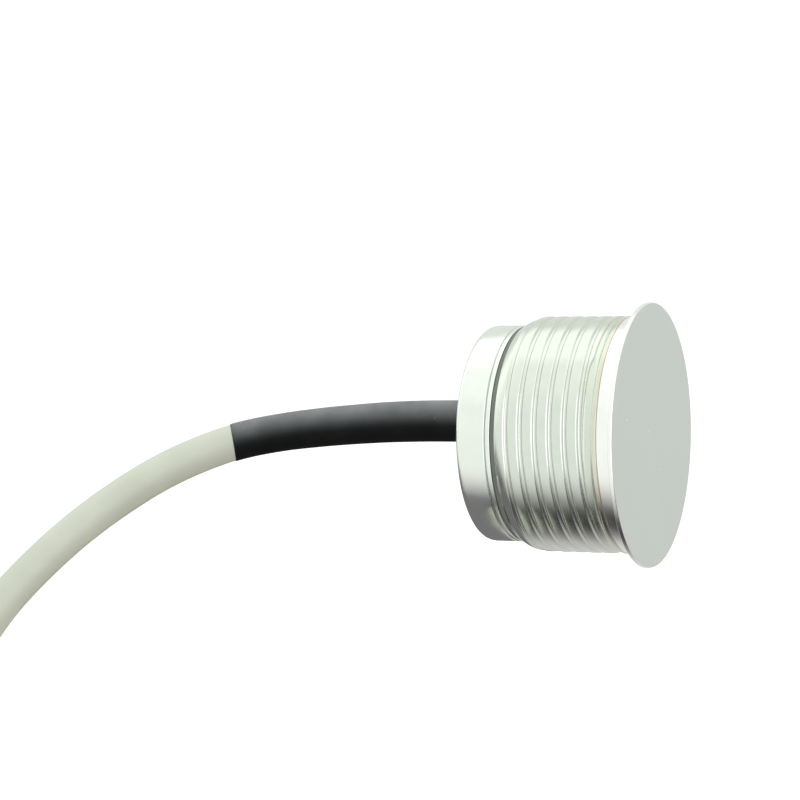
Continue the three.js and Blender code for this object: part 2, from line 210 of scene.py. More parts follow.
def smoothPath(points, steps):
    # a smooth curve through the points, with steps pieces between each two
    points = [Vector(p) for p in points]
    ends = [points[0] * 2 - points[1]] + points + [points[-1] * 2 - points[-2]]
    path = []
    for a, b, c, d in zip(ends, ends[1:], ends[2:], ends[3:]):
        t1 = (b - a).length ** 0.5
        t2 = t1 + (c - b).length ** 0.5
        t3 = t2 + (d - c).length ** 0.5
        for k in range(steps):
            t = mix(t1, t2, k / steps)
            ab = a.lerp(b, t / t1)
            bc = b.lerp(c, (t - t1) / (t2 - t1))
            cd = c.lerp(d, (t - t2) / (t3 - t2))
            abc = ab.lerp(bc, t / t2)
            bcd = bc.lerp(cd, (t - t1) / (t3 - t1))
            path.append(abc.lerp(bcd, (t - t1) / (t2 - t1)))
    return path + [points[-1]]


def leadPath():
    points = [Vector(p) for p in leadRoute]
    bend = coil["landingBend"]
    for deg in coil["landingDeg"]:
        angle = math.radians(deg)
        lift = bend * (1 - math.cos(angle))
        x = coil["centre"][0] - bend * math.sin(angle)
        points.append(Vector((x, points[-1].y, coil["laneHeight"] + lift)))
    deg = coil["startDeg"]
    while deg < coil["jacketEndDeg"] - 1:
        points.append(coilPoint(deg))
        deg += coil["stepDeg"]
    points.append(coilPoint(coil["jacketEndDeg"]))
    return smoothPath(points, pathSteps)


def pathLength(path):
    return sum((b - a).length for a, b in zip(path, path[1:]))


def alongPath(path):
    # returns a function that puts (distance, radius, angle) around the path
    starts = [0.0]
    for a, b in zip(path, path[1:]):
        starts.append(starts[-1] + (b - a).length)
    sides = []
    side = Vector((0, 1, 0))
    for i in range(len(path)):
        forward = (path[min(i + 1, len(path) - 1)] - path[max(i - 1, 0)]).normalized()
        side = (side - forward * side.dot(forward)).normalized()
        sides.append((side.copy(), side.cross(forward)))

    def place(distance, radius, angle):
        i = 0
        while i < len(path) - 2 and starts[i + 1] < distance:
            i += 1
        t = (distance - starts[i]) / (starts[i + 1] - starts[i])
        centre = path[i].lerp(path[i + 1], t)
        t = min(max(t, 0.0), 1.0)
        across = sides[i][0].lerp(sides[i + 1][0], t)
        upward = sides[i][1].lerp(sides[i + 1][1], t)
        return centre + across * radius * math.cos(angle) + upward * radius * math.sin(angle)

    return place


# lead
lead = {"radius": 0.002, "paredRadius": 0.0017, "paredShare": 0.8, "roundness": 8}
leadLine = leadPath()


def makeLead():
    data = bpy.data.curves.new("lead", "CURVE")
    data.dimensions = "3D"
    data.twist_mode = "MINIMUM"
    data.bevel_depth = 1.0      # thickness comes from each point's radius, which the curve's bounds also use
    data.bevel_resolution = lead["roundness"]
    data.use_fill_caps = True
    inner = Vector((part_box("lead_entry")[1].x, leadRoute[0][1], leadRoute[0][2]))
    line = [inner, inner.lerp(leadLine[0], lead["paredShare"])] + leadLine
    spline = data.splines.new("POLY")
    spline.points.add(len(line) - 1)
    for point, here in zip(spline.points, line):
        point.co = (*here, 1)
        point.radius = lead["radius"]
    for point in list(spline.points)[:2]:
        point.radius = lead["paredRadius"]
    spline.use_smooth = True
    piece = bpy.data.objects.new("lead", data)
    bpy.context.scene.collection.objects.link(piece)
    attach(piece, "root")
    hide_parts("lead_entry", "cable", "cable_coil", "cable_tail")
    return piece, pathLength(line)


leadPiece, leadLength = makeLead()
print("lead laid:", round(leadLength, 4), "m")


# housing
housing = {
    "flangeEdge": 0.17, "barrelRadius": 12.5, "bore": 10.6, "wallThickness": 1.0,
    "undercut": 0.2, "landEnd": -1.68, "lineDepth": 0.13, "lineWidth": 0.12, "ridgeEnd": -2.14,
    "reliefRadius": 12.28, "reliefEnd": -3.16, "reliefEndAbove": -2.93,
    "threadStartDeg": 142, "startSpread": 4, "narrowDeg": (300, 340), "faceRings": (9.0, 13.4),
    "pitch": 1.597, "firstGroove": -3.48, "grooveFloor": 0.07, "grooveHalf": 0.37, "grooveDepth": 0.25,
    "crestCrown": 0.05, "leadInStart": -11.0, "leadInPower": 1.6, "endRadius": 11.75,
    "threadStop": 0.25, "grooveTurns": 10, "sealShow": 0.16, "columns": 288,
}
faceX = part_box("housing")[1].x / mm
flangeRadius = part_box("housing")[1].z / mm
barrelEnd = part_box("housing")[0].x / mm + housing["sealShow"]
threadStop = barrelEnd + housing["threadStop"]
grooveSteps = (
    0.0, 0.04, 0.07, 0.09, 0.11, 0.145, 0.165, 0.185, 0.205, 0.23, 0.26, 0.30, 0.34, 0.38,
    0.42, 0.48, 0.6,
)


def crestRadius(x):
    if x > housing["leadInStart"]:
        return housing["barrelRadius"]
    t = (housing["leadInStart"] - x) / (housing["leadInStart"] - barrelEnd)
    drop = housing["barrelRadius"] - housing["endRadius"]
    return housing["barrelRadius"] - drop * t ** housing["leadInPower"]


def reliefEnd(angle):
    # the relief is cut wider from the angle where the thread starts, round to the far side
    deg = math.degrees(angle)
    start, spread = housing["threadStartDeg"], housing["startSpread"]
    wide = ease(deg, start - spread, start + spread) * (1 - ease(deg, *housing["narrowDeg"]))
    return mix(housing["reliefEndAbove"], housing["reliefEnd"], wide)


def threadRadius(x, angle):
    pitch = housing["pitch"]
    turns = (x - housing["firstGroove"]) / pitch - (angle - math.pi) / (2 * math.pi)
    away = abs(turns - round(turns)) * pitch
    depth = housing["grooveDepth"] * (1 - ease(away, housing["grooveFloor"], housing["grooveHalf"]))
    crown = housing["crestCrown"] * (1 - 2 * away / pitch) ** 2
    return crestRadius(x) - depth - crown


def threadRows(angle):
    pitch = housing["pitch"]
    start = reliefEnd(angle)
    offsets = sorted(set(grooveSteps) | {pitch - s for s in grooveSteps if s > 0} | {pitch / 2})
    shift = housing["firstGroove"] + pitch * (angle - math.pi) / (2 * math.pi) + 2 * pitch
    rows = []
    for turn in range(housing["grooveTurns"]):
        for offset in offsets:
            x = min(max(shift - turn * pitch - offset, threadStop), start)
            rows.append((x, threadRadius(x, angle)))
    return rows


def housingOutline(angle):
    h = housing
    relief = reliefEnd(angle)
    front = softCorners([
        (faceX, 0, 0), *((faceX, ring, 0) for ring in h["faceRings"]),
        (faceX, flangeRadius, h["flangeEdge"]),
        (0, flangeRadius, 0.06), (0, h["barrelRadius"] - h["undercut"], 0.02),
        (-0.12, h["barrelRadius"], 0.05),
        (h["landEnd"] + h["lineWidth"] / 2, h["barrelRadius"], 0.04),
        (h["landEnd"], h["barrelRadius"] - h["lineDepth"], 0.02),
        (h["landEnd"] - h["lineWidth"] / 2, h["barrelRadius"], 0.05),
        (h["ridgeEnd"], h["barrelRadius"], 0.1), (h["ridgeEnd"] - 0.2, h["reliefRadius"] + 0.03, 0.14),
        ((h["ridgeEnd"] + relief) / 2, h["reliefRadius"] - 0.02, 0.2),
        (relief + 0.1, h["reliefRadius"], 0.05), (relief, threadRadius(relief, angle), 0),
    ])
    rear = softCorners([
        (threadStop, threadRadius(threadStop, angle), 0), (barrelEnd, h["endRadius"], 0.06),
        (barrelEnd, h["bore"], 0.1), (faceX - h["wallThickness"], h["bore"], 0.3),
        (faceX - h["wallThickness"], 0, 0),
    ])
    return scaled(front + threadRows(angle) + rear)


def makeHousing():
    piece = turnedPiece("threadedHousing", housingOutline, housing["columns"])
    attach(piece, "root")
    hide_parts("housing")
    return piece


housingPiece = makeHousing()
print("housing turned:", len(housingPiece.data.vertices), "points")


# rear cap and joint seal
cap = {
    "lip": 0.44, "slit": 0.2, "slitDepth": 0.42, "rounding": 0.8, "outletRadius": 2.3,
    "spigotRadius": 10.5, "cavityRadius": 9.3, "wall": 1.5, "jointGap": 0.4, "wallRing": 6.0,
    "outletBlend": (4.5, 8.5), "cornerSteps": 6, "columns": 192,
}
capLow, capHigh = (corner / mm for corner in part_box("rear_cap"))
outletLift = leadRoute[0][2] / mm


def capOutline(angle):
    front = barrelEnd - housing["sealShow"] - cap["jointGap"]
    radius = capHigh.z
    rear = capLow.x
    slitStart = front - cap["lip"]
    slitEnd = slitStart - cap["slit"]
    cavityRear = rear + cap["wall"]
    return scaled(softCorners([
        (capHigh.x, cap["cavityRadius"], 0), (capHigh.x, cap["spigotRadius"], 0.1),
        (front, cap["spigotRadius"], 0.05), (front, radius, 0.09), (slitStart, radius, 0.05),
        ((slitStart + slitEnd) / 2, radius - cap["slitDepth"], 0.02), (slitEnd, radius, 0.07),
        (rear, radius, cap["rounding"]), (rear, cap["wallRing"], 0), (rear, cap["outletRadius"], 0.12),
        (cavityRear, cap["outletRadius"], 0.05), (cavityRear, cap["cavityRadius"], 0.2),
        (capHigh.x, cap["cavityRadius"], 0),
    ], cap["cornerSteps"]))


def aroundOutlet(x, radius, angle):
    # circles near the outlet are centred on it, wider ones on the axis
    low, high = (edge * mm for edge in cap["outletBlend"])
    lift = outletLift * mm * (1 - ease(radius, low, high))
    return (x, radius * math.cos(angle), lift + radius * math.sin(angle))


def makeCap():
    piece = turnedPiece("rearCap", capOutline, cap["columns"], aroundOutlet)
    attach(piece, "root")
    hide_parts("rear_cap")
    return piece


seal = {"radius": 11.5, "bulge": 0.03, "bulgeScale": 3, "clearance": 0.05, "columns": 128}


def makeSeal():
    low, high = (corner.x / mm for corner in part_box("joint_seal"))
    high += housing["sealShow"]
    outer = seal["radius"]
    inner = cap["spigotRadius"] + seal["clearance"]

    def outline(angle):
        size = seal["bulgeScale"]
        spot = Vector((math.cos(angle) * size, math.sin(angle) * size, 0.5))
        bulge = seal["bulge"] * noise.noise(spot)
        return scaled(softCorners([
            (low, inner, 0), (low, outer + bulge, 0.06), (high, outer + bulge, 0.06),
            (high, inner, 0.05), (low, inner, 0),
        ]))

    piece = turnedPiece("jointSeal", outline, seal["columns"])
    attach(piece, "root")
    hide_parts("joint_seal")
    return piece


capPiece = makeCap()
sealPiece = makeSeal()
print("rear cap and seal turned")


# shrink sleeve at the outlet
sleeve = {
    "length": 32.3, "cutSlant": (-0.25, 0.17), "startRadius": 2.26, "endRadius": 2.08, "filletRadius": 2.46,
    "taperStart": 8, "filletLength": 0.7, "hiddenRadius": 2.28,
    "wrinkle": 0.014, "wrinkleAlong": 0.35, "wrinkleRound": 1.2, "columns": 56,
}
jacketFit = 0.01        # left between the jacket and what is shrunk on it
sleeveExit = (leadRoute[0][0] - capLow.x * mm) / mm     # how far along the sleeve the cap's wall ends


def sleeveRadius(along, angle):
    shrunk = ease(along, sleeve["taperStart"], sleeve["length"])
    taper = mix(sleeve["startRadius"], sleeve["endRadius"], shrunk)
    fading = 1 - ease(along, sleeveExit, sleeveExit + sleeve["filletLength"])
    fillet = (sleeve["filletRadius"] - sleeve["startRadius"]) * fading
    size = sleeve["wrinkleRound"]
    spot = Vector((along * sleeve["wrinkleAlong"], math.cos(angle) * size, math.sin(angle) * size))
    return taper + (fillet if along >= sleeveExit else 0) + sleeve["wrinkle"] * noise.noise(spot)


def sleeveOutline(angle):
    inner = lead["radius"] / mm + jacketFit
    upper, far = sleeve["cutSlant"]
    length = sleeve["length"] + upper * math.sin(angle) + far * math.cos(angle)
    hidden = [0.4 + 1.5 * k / 3 for k in range(4)]
    shown = [sleeveExit + 0.14 * k for k in range(7)]
    shown += [mix(sleeveExit + 1.2, length - 0.3, k / 40) for k in range(41)]
    points = [(0.2, inner)] + [(s, min(sleeveRadius(s, angle), sleeve["hiddenRadius"])) for s in hidden]
    points += [(s, sleeveRadius(s, angle)) for s in shown]
    end = sleeveRadius(length, angle)
    points += [(length - 0.12, end - 0.005), (length - 0.03, end - 0.03)]
    points += [(mix(length, 0.2, k / 24), inner) for k in range(25)]
    return scaled(points)


def makeSleeve():
    piece = turnedPiece("shrinkSleeve", sleeveOutline, sleeve["columns"], alongPath(leadLine))
    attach(piece, "root")
    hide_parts("strain_sleeve")
    return piece


sleevePiece = makeSleeve()
print("sleeve shrunk on")


# end of the lead: sleeve, cores, plug and tie
tail = {
    "endSleeveLength": 7.0, "overlap": 2.4, "endSleeveRadius": 2.16, "neckRadius": 1.75,
    "gap": 0.3, "rough": 0.02, "sleeveColumns": 40,
    "coreRadius": 0.5, "coreEdge": 0.05, "coreLength": 19.0, "coreRows": 44, "coreColumns": 20,
    "bundle": 0.62, "fanEnd": 0.9, "fanPoints": 10, "plugPitch": 2.0,
}
degPerMm = 360 / (2 * math.pi * topRadius(coil["jacketEndDeg"]) / mm)
tailStart = coil["jacketEndDeg"] + tail["gap"] * degPerMm
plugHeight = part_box("connector_contact_1")
plugZ = (plugHeight[0].z + plugHeight[1].z) / 2


def topArc(fromDeg, toDeg, count):
    return [
        onCoil(deg, topRadius(deg), coil["topHeight"])
        for deg in (mix(fromDeg, toDeg, i / count) for i in range(count + 1))
    ]


def makeEndSleeve():
    length = tail["endSleeveLength"] + tail["overlap"]
    first = tailStart - tail["overlap"] * degPerMm
    path = topArc(first, first + length * degPerMm, 12)

    def outline(angle):
        rough = tail["rough"] * noise.noise(Vector((math.cos(angle), math.sin(angle), 7)))
        radius = tail["endSleeveRadius"] + rough
        inner = lead["radius"] / mm + jacketFit
        neck = tail["overlap"] - 0.1
        return scaled(softCorners([
            (0, inner, 0), (0, radius, 0.1), (neck, radius, 0.6), (neck + 1.2, tail["neckRadius"], 0.6),
            (length, tail["neckRadius"] - 0.04, 0.1), (length, tail["neckRadius"] - 0.3, 0),
            (neck + 1.2, tail["neckRadius"] - 0.3, 0.4), (neck + 0.2, inner, 0), (0, inner, 0),
        ]))

    piece = turnedPiece("endSleeve", outline, tail["sleeveColumns"], alongPath(path))
    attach(piece, "root")
    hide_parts("jacket_end_sleeve")
    return piece


def corePath(k):
    # the cores leave as a square bundle and fan out to the plug's row of cavities
    bundleR = (-1 if k < 2 else 1) * tail["bundle"]
    bundleZ = (-1 if k % 2 else 1) * tail["bundle"]
    rowR = (k - 1.5) * tail["plugPitch"]
    straight = (tail["endSleeveLength"] + 1) / tail["coreLength"]
    steps = tail["fanPoints"]
    points = []
    for i in range(steps + 1):
        t = i / steps
        fan = ease(t, straight, tail["fanEnd"])
        deg = tailStart + t * tail["coreLength"] * degPerMm
        radius = topRadius(deg) + mix(bundleR, rowR, fan) * mm
        points.append(onCoil(deg, radius, mix(coil["topHeight"] + bundleZ * mm, plugZ, fan)))
    return smoothPath(points, pathSteps)


def makeCores():
    slots = ("red_wire", "black_wire", "yellow_wire", "white_wire")
    made = []
    for k, slotName in enumerate(slots):
        path = corePath(k)
        length = pathLength(path) / mm
        radius, edge, count = tail["coreRadius"], tail["coreEdge"], tail["coreRows"]
        side = [(mix(edge, length - edge, i / count), radius) for i in range(count + 1)]
        rod = scaled([(0, 0), (0, radius - edge)] + side + [(length, radius - edge), (length, 0)])
        piece = turnedPiece(f"tailCore{k + 1}", lambda angle: rod, tail["coreColumns"], alongPath(path))
        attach(piece, "root")
        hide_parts(f"tail_core_{k + 1}")
        made.append(piece)
    return made


tie = {"width": 2.6, "thickness": 0.44, "clearance": 0.05, "edge": 0.12, "coilDeg": 90, "arcSteps": 14}


def tiePath():
    # a loop pulled tight round two turns and the strand on top of them
    turnsDone = (tie["coilDeg"] - coil["startDeg"]) / 360
    lanes = [coil["outerLane"] - coil["pitch"] * (turnsDone + n) for n in (0, 1)]
    top = (topRadius(tie["coilDeg"] + 720), coil["topHeight"])
    outer = (lanes[0], coil["laneHeight"])
    inner = (lanes[1], coil["laneHeight"])
    lean = math.degrees(math.atan2(outer[0] - top[0], top[1] - outer[1]))
    away = lead["radius"] + (tie["clearance"] + tie["thickness"] / 2) * mm
    loop = []
    for (r, z), first, last in ((outer, -90, lean), (top, lean, 180 - lean), (inner, 180 - lean, 270)):
        for i in range(tie["arcSteps"] + 1):
            angle = math.radians(mix(first, last, i / tie["arcSteps"]))
            loop.append(((r + away * math.cos(angle), z + away * math.sin(angle)), angle))
    return loop


def makeTie():
    half = tie["width"] / 2
    thin = tie["thickness"] / 2
    edge = tie["edge"]
    section = [
        (-half + edge, thin), (half - edge, thin), (half, thin - edge), (half, -thin + edge),
        (half - edge, -thin), (-half + edge, -thin), (-half, -thin + edge), (-half, thin - edge),
    ]
    mesh = bmesh.new()
    rings = []
    for (r, z), angle in tiePath():
        ring = []
        for across, out in section:
            radius = r + out * mm * math.cos(angle)
            ring.append(mesh.verts.new((
                coil["centre"][0] + across * mm, coil["centre"][1] + radius, z + out * mm * math.sin(angle),
            )))
        rings.append(ring)
    for a, b in zip(rings, rings[1:] + rings[:1]):
        for i in range(len(section)):
            j = (i + 1) % len(section)
            mesh.faces.new((a[i], a[j], b[j], b[i]))
    piece = finishMesh("coilTie", mesh)
    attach(piece, "root")
    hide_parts("coil_tie")
    return piece


endSleevePiece = makeEndSleeve()
corePieces = makeCores()
tiePiece = makeTie()
print("coil end made")

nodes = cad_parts


# finishes
noiseLow, noiseHigh = 0.3, 0.7      # the part of a noise's range that carries its pattern
cloudShare = 0.12                   # a cloud's scale against the grain's
speck = {"size": 0.1, "rarity": 0.66, "patchShare": 0.37}


def newFinish(name):
    finish = bpy.data.materials.new(name)
    finish.use_nodes = True
    return finish, finish.node_tree, finish.node_tree.nodes["Principled BSDF"]


def addNode(tree, kind, settings=None, **links):
    # links are given by socket name with spaces left out
    node = tree.nodes.new(kind)
    for key, value in (settings or {}).items():
        if isinstance(key, str) and hasattr(node, key):
            setattr(node, key, value)
        else:
            node.inputs[key].default_value = value
    for key, source in links.items():
        tree.links.new(source, node.inputs[key.replace("_", " ")])
    return node


def stretchedNoise(tree, stretch, scale, detail=4.0, roughness=0.55):
    place = addNode(tree, "ShaderNodeTexCoord")
    mapping = addNode(tree, "ShaderNodeMapping", {"Scale": stretch}, Vector=place.outputs["Object"])
    settings = {"Scale": scale, "Detail": detail, "Roughness": roughness}
    return addNode(tree, "ShaderNodeTexNoise", settings, Vector=mapping.outputs["Vector"]).outputs["Fac"]


def colourBetween(tree, factor, colours):
    ramp = addNode(tree, "ShaderNodeValToRGB", Fac=factor)
    stops = ramp.color_ramp.elements
    stops[0].position = noiseLow
    stops[1].position = noiseHigh
    stops[0].color = (*colours[0], 1)
    stops[1].color = (*colours[1], 1)
    return ramp.outputs["Color"]


def valueBetween(tree, factor, low, high):
    settings = {"From Min": noiseLow, "From Max": noiseHigh, "To Min": low, "To Max": high}
    return addNode(tree, "ShaderNodeMapRange", settings, Value=factor).outputs["Result"]


def bumpFrom(tree, height, strength, distance, under=None):
    bump = addNode(tree, "ShaderNodeBump", {"Strength": strength, "Distance": distance}, Height=height)
    if under is not None:
        tree.links.new(under, bump.inputs["Normal"])
    return bump.outputs["Normal"]


def withSpecks(tree, base, scale, colour):
    # a few tiny bright specks scattered over a colour
    place = addNode(tree, "ShaderNodeTexCoord")
    cells = addNode(tree, "ShaderNodeTexVoronoi", {"Scale": scale}, Vector=place.outputs["Object"])
    inDot = {"operation": "LESS_THAN", 1: speck["size"]}
    near = addNode(tree, "ShaderNodeMath", inDot, Value=cells.outputs["Distance"])
    rare = stretchedNoise(tree, (1, 1, 1), scale * speck["patchShare"], 1.0)
    overLimit = {"operation": "GREATER_THAN", 1: speck["rarity"]}
    few = addNode(tree, "ShaderNodeMath", overLimit, Value=rare)
    both = addNode(tree, "ShaderNodeMath", {"operation": "MULTIPLY"}, Value=near.outputs[0])
    tree.links.new(few.outputs[0], both.inputs[1])
    speckled = addNode(tree, "ShaderNodeMixRGB", {"Color2": (*colour, 1)}, Fac=both.outputs[0])
    tree.links.new(base, speckled.inputs["Color1"])
    return speckled.outputs["Color"]


metal = {
    "colours": ((0.83, 0.85, 0.83), (0.87, 0.885, 0.87)),
    "roughness": (0.15, 0.24),
    "lineStretch": (60, 1, 1),       # the lathe leaves fine lines round the axis
    "lineScale": 900, "lineDepth": 0.0000012, "lineBump": 0.5,
    "mottleScale": 520, "mottleDepth": 0.000002, "mottleBump": 0.35,
}


def makeMetal(name, look, tint=(1, 1, 1), rougher=0.0):
    finish, tree, shader = newFinish(name)
    shader.inputs["Metallic"].default_value = 1.0
    mottle = stretchedNoise(tree, (1, 1, 1), look["mottleScale"], 3.0)
    lineScale = look["lineScale"] / look["lineStretch"][0]
    lines = stretchedNoise(tree, look["lineStretch"], lineScale, 3.0)
    colours = [tuple(c * t for c, t in zip(colour, tint)) for colour in look["colours"]]
    tree.links.new(colourBetween(tree, mottle, colours), shader.inputs["Base Color"])
    low, high = look["roughness"]
    tree.links.new(valueBetween(tree, mottle, low + rougher, high + rougher), shader.inputs["Roughness"])
    waves = bumpFrom(tree, mottle, look["mottleBump"], look["mottleDepth"])
    normal = bumpFrom(tree, lines, look["lineBump"], look["lineDepth"], waves)
    tree.links.new(normal, shader.inputs["Normal"])
    return finish


# how each cut of the housing differs from the bare metal: tint, extra roughness
metalCuts = {
    "threadCut": ((0.85, 0.855, 0.835), 0.02),
    "polishedLand": ((1.1, 1.07, 1.1), 0.0),
    "reliefCut": ((0.82, 0.835, 0.79), 0.06),
    "ridgeCut": ((0.84, 0.78, 0.72), 0.0),
}
face = {
    "colours": ((0.707, 0.725, 0.729), (0.732, 0.745, 0.75)),
    "roughness": (0.42, 0.5),
    "mottleStretch": (1, 1, 0.35), "mottleScale": 260, "mottleDepth": 0.000003, "mottleBump": 0.3,
    "speckScale": 900, "speckColour": (0.95, 0.98, 0.95),
}


def makeFaceFinish(look):
    # the lapped sensing face: even and dull, with a few bright specks
    finish, tree, shader = newFinish("lappedFace")
    shader.inputs["Metallic"].default_value = 1.0
    mottle = stretchedNoise(tree, look["mottleStretch"], look["mottleScale"], 4.0)
    base = colourBetween(tree, mottle, look["colours"])
    speckled = withSpecks(tree, base, look["speckScale"], look["speckColour"])
    tree.links.new(speckled, shader.inputs["Base Color"])
    tree.links.new(valueBetween(tree, mottle, *look["roughness"]), shader.inputs["Roughness"])
    normal = bumpFrom(tree, mottle, look["mottleBump"], look["mottleDepth"])
    tree.links.new(normal, shader.inputs["Normal"])
    return finish


def makeGrainy(name, look):
    # plastics, rubbers and other materials with an even grain
    finish, tree, shader = newFinish(name)
    shader.inputs["Metallic"].default_value = look.get("metallic", 0.0)
    shader.inputs["Specular IOR Level"].default_value = look.get("gloss", 0.5)
    stretch = look.get("stretch", (1, 1, 1))
    grain = stretchedNoise(tree, stretch, look["grainScale"], 5.0)
    cloud = stretchedNoise(tree, stretch, look["grainScale"] * cloudShare, 2.0)
    base = colourBetween(tree, cloud, look["colours"])
    if "specks" in look:
        base = withSpecks(tree, base, look["specks"], look["speckColour"])
    tree.links.new(base, shader.inputs["Base Color"])
    tree.links.new(valueBetween(tree, grain, *look["roughness"]), shader.inputs["Roughness"])
    waves = bumpFrom(tree, grain, look.get("bump", 0.4), look.get("depth", 0.00001))
    tree.links.new(waves, shader.inputs["Normal"])
    return finish


grainy = {
    "seal": {
        "colours": ((0.17, 0.19, 0.165), (0.21, 0.23, 0.20)),
        "roughness": (0.55, 0.75), "grainScale": 2400,
    },
    "ceramic": {
        "colours": ((0.66, 0.60, 0.47), (0.73, 0.67, 0.54)),
        "roughness": (0.5, 0.65), "grainScale": 5200,
    },
    "epoxy": {
        "colours": ((0.42, 0.29, 0.09), (0.50, 0.36, 0.13)),
        "roughness": (0.2, 0.4), "grainScale": 900,
    },
    "silicone": {
        "colours": ((0.76, 0.75, 0.70), (0.82, 0.81, 0.77)),
        "roughness": (0.5, 0.6), "grainScale": 1500,
    },
    "cork": {
        "colours": ((0.13, 0.07, 0.03), (0.38, 0.23, 0.11)), "roughness": (0.8, 0.95),
        "grainScale": 3800, "depth": 0.00006, "bump": 0.9,
    },
    "laminate": {
        "colours": ((0.008, 0.085, 0.030), (0.014, 0.13, 0.05)), "roughness": (0.3, 0.45),
        "grainScale": 6000, "depth": 0.000004,
    },
    "chip": {
        "colours": ((0.010, 0.010, 0.011), (0.018, 0.018, 0.020)),
        "roughness": (0.45, 0.6), "grainScale": 9000,
    },
    "ferrite": {
        "colours": ((0.028, 0.026, 0.024), (0.045, 0.042, 0.038)),
        "roughness": (0.6, 0.8), "grainScale": 6000,
    },
    "copper": {
        "colours": ((0.62, 0.25, 0.10), (0.75, 0.35, 0.15)), "roughness": (0.25, 0.4), "metallic": 1.0,
        "grainScale": 1800, "stretch": (8, 1, 1), "depth": 0.00004,
    },
    "tin": {
        "colours": ((0.55, 0.56, 0.56), (0.68, 0.69, 0.69)),
        "roughness": (0.28, 0.45), "metallic": 1.0, "grainScale": 3000,
    },
    "potting": {
        "colours": ((0.014, 0.012, 0.011), (0.020, 0.018, 0.016)),
        "roughness": (0.2, 0.5), "grainScale": 700,
    },
    "black_sleeve": {
        "colours": ((0.0075, 0.0080, 0.0082), (0.0110, 0.0116, 0.0118)), "roughness": (0.42, 0.55),
        "grainScale": 2600, "depth": 0.000012, "bump": 0.5, "gloss": 0.06,
        "specks": 1500, "speckColour": (0.05, 0.05, 0.05),
    },
    "jacket": {
        "colours": ((0.66, 0.675, 0.585), (0.715, 0.725, 0.64)), "roughness": (0.42, 0.55),
        "grainScale": 1900, "depth": 0.000012, "bump": 0.4,
    },
    "red_wire": {
        "colours": ((0.36, 0.018, 0.014), (0.46, 0.03, 0.022)),
        "roughness": (0.35, 0.5), "grainScale": 3000,
    },
    "black_wire": {
        "colours": ((0.010, 0.010, 0.010), (0.016, 0.016, 0.016)),
        "roughness": (0.35, 0.5), "grainScale": 3000,
    },
    "yellow_wire": {
        "colours": ((0.62, 0.40, 0.012), (0.74, 0.50, 0.025)),
        "roughness": (0.35, 0.5), "grainScale": 3000,
    },
    "white_wire": {
        "colours": ((0.74, 0.74, 0.71), (0.82, 0.82, 0.79)),
        "roughness": (0.35, 0.5), "grainScale": 3000,
    },
    "nylon": {
        "colours": ((0.72, 0.69, 0.60), (0.79, 0.76, 0.68)),
        "roughness": (0.35, 0.48), "grainScale": 2200,
    },
}
finishes = {name: makeGrainy(name, look) for name, look in grainy.items()}
finishes["aluminium"] = makeMetal("aluminium", metal)
cutFinishes = [makeFaceFinish(face)]
cutFinishes += [makeMetal(name, metal, *cut) for name, cut in metalCuts.items()]

nodeFinish = {
    "bond_layer": "epoxy", "piezo_disc": "ceramic", "centring_ring": "silicone", "damping_pad": "cork",
    "spacer_ring": "nylon", "piezo_lead_1": "red_wire", "piezo_lead_2": "black_wire",
    "circuit_board": "laminate", "microcontroller": "chip", "amplifier_chip": "chip", "crystal": "tin",
    "drive_transistor": "chip", "resistor_1": "chip", "resistor_2": "chip", "resistor_3": "chip",
    "resistor_4": "chip", "capacitor_1": "ceramic", "capacitor_2": "ceramic", "capacitor_3": "tin",
    "transformer_core": "ferrite", "transformer_winding": "copper", "core_wire_1": "red_wire",
    "core_wire_2": "black_wire", "core_wire_3": "yellow_wire", "core_wire_4": "white_wire",
    "potting_plug": "potting", "connector_housing": "nylon", "connector_contact_1": "tin",
    "connector_contact_2": "tin", "connector_contact_3": "tin", "connector_contact_4": "tin",
}
softEdge = {"width": 0.00006, "plugWidth": 0.00022, "segments": 2, "angleDeg": 45}
# the housing's cuts, in the order of its material slots
cuts = ("inside", "face", "thread", "land", "relief", "ridge")
cutLimits = {"faceLean": 0.9, "faceDepth": 0.02, "skin": 0.6}


def dress(piece, finish):
    piece.data.materials.clear()
    piece.data.materials.append(finish)


def dressNodes():
    for name, finishName in nodeFinish.items():
        node = nodes[name]
        dress(node, finishes[finishName])
        edges = node.modifiers.new("softEdges", "BEVEL")
        edges.width = softEdge["plugWidth"] if name == "connector_housing" else softEdge["width"]
        edges.segments = softEdge["segments"]
        edges.limit_method = "ANGLE"
        edges.angle_limit = math.radians(softEdge["angleDeg"])


def cutOf(polygon):
    x = polygon.center.x / mm
    if polygon.normal.x > cutLimits["faceLean"] and x > faceX - cutLimits["faceDepth"]:
        return "face"
    if math.hypot(polygon.center.y, polygon.center.z) / mm <= housing["bore"] + cutLimits["skin"]:
        return "inside"
    if x > housing["landEnd"] + housing["lineWidth"] / 2:
        return "land"
    if x > housing["ridgeEnd"]:
        return "ridge"
    angle = math.atan2(polygon.center.z, polygon.center.y) % (2 * math.pi)
    return "relief" if x > reliefEnd(angle) else "thread"


def dressPieces():
    for piece in (housingPiece, capPiece):
        dress(piece, finishes["aluminium"])
    for piece in (sleevePiece, endSleevePiece, tiePiece):
        dress(piece, finishes["black_sleeve"])
    for piece, name in zip(corePieces, ("red_wire", "black_wire", "yellow_wire", "white_wire")):
        dress(piece, finishes[name])
    dress(sealPiece, finishes["seal"])
    dress(leadPiece, finishes["jacket"])
    for finish in cutFinishes:
        housingPiece.data.materials.append(finish)
    for polygon in housingPiece.data.polygons:
        polygon.material_index = cuts.index(cutOf(polygon))


dressNodes()
dressPieces()
print("finishes given")


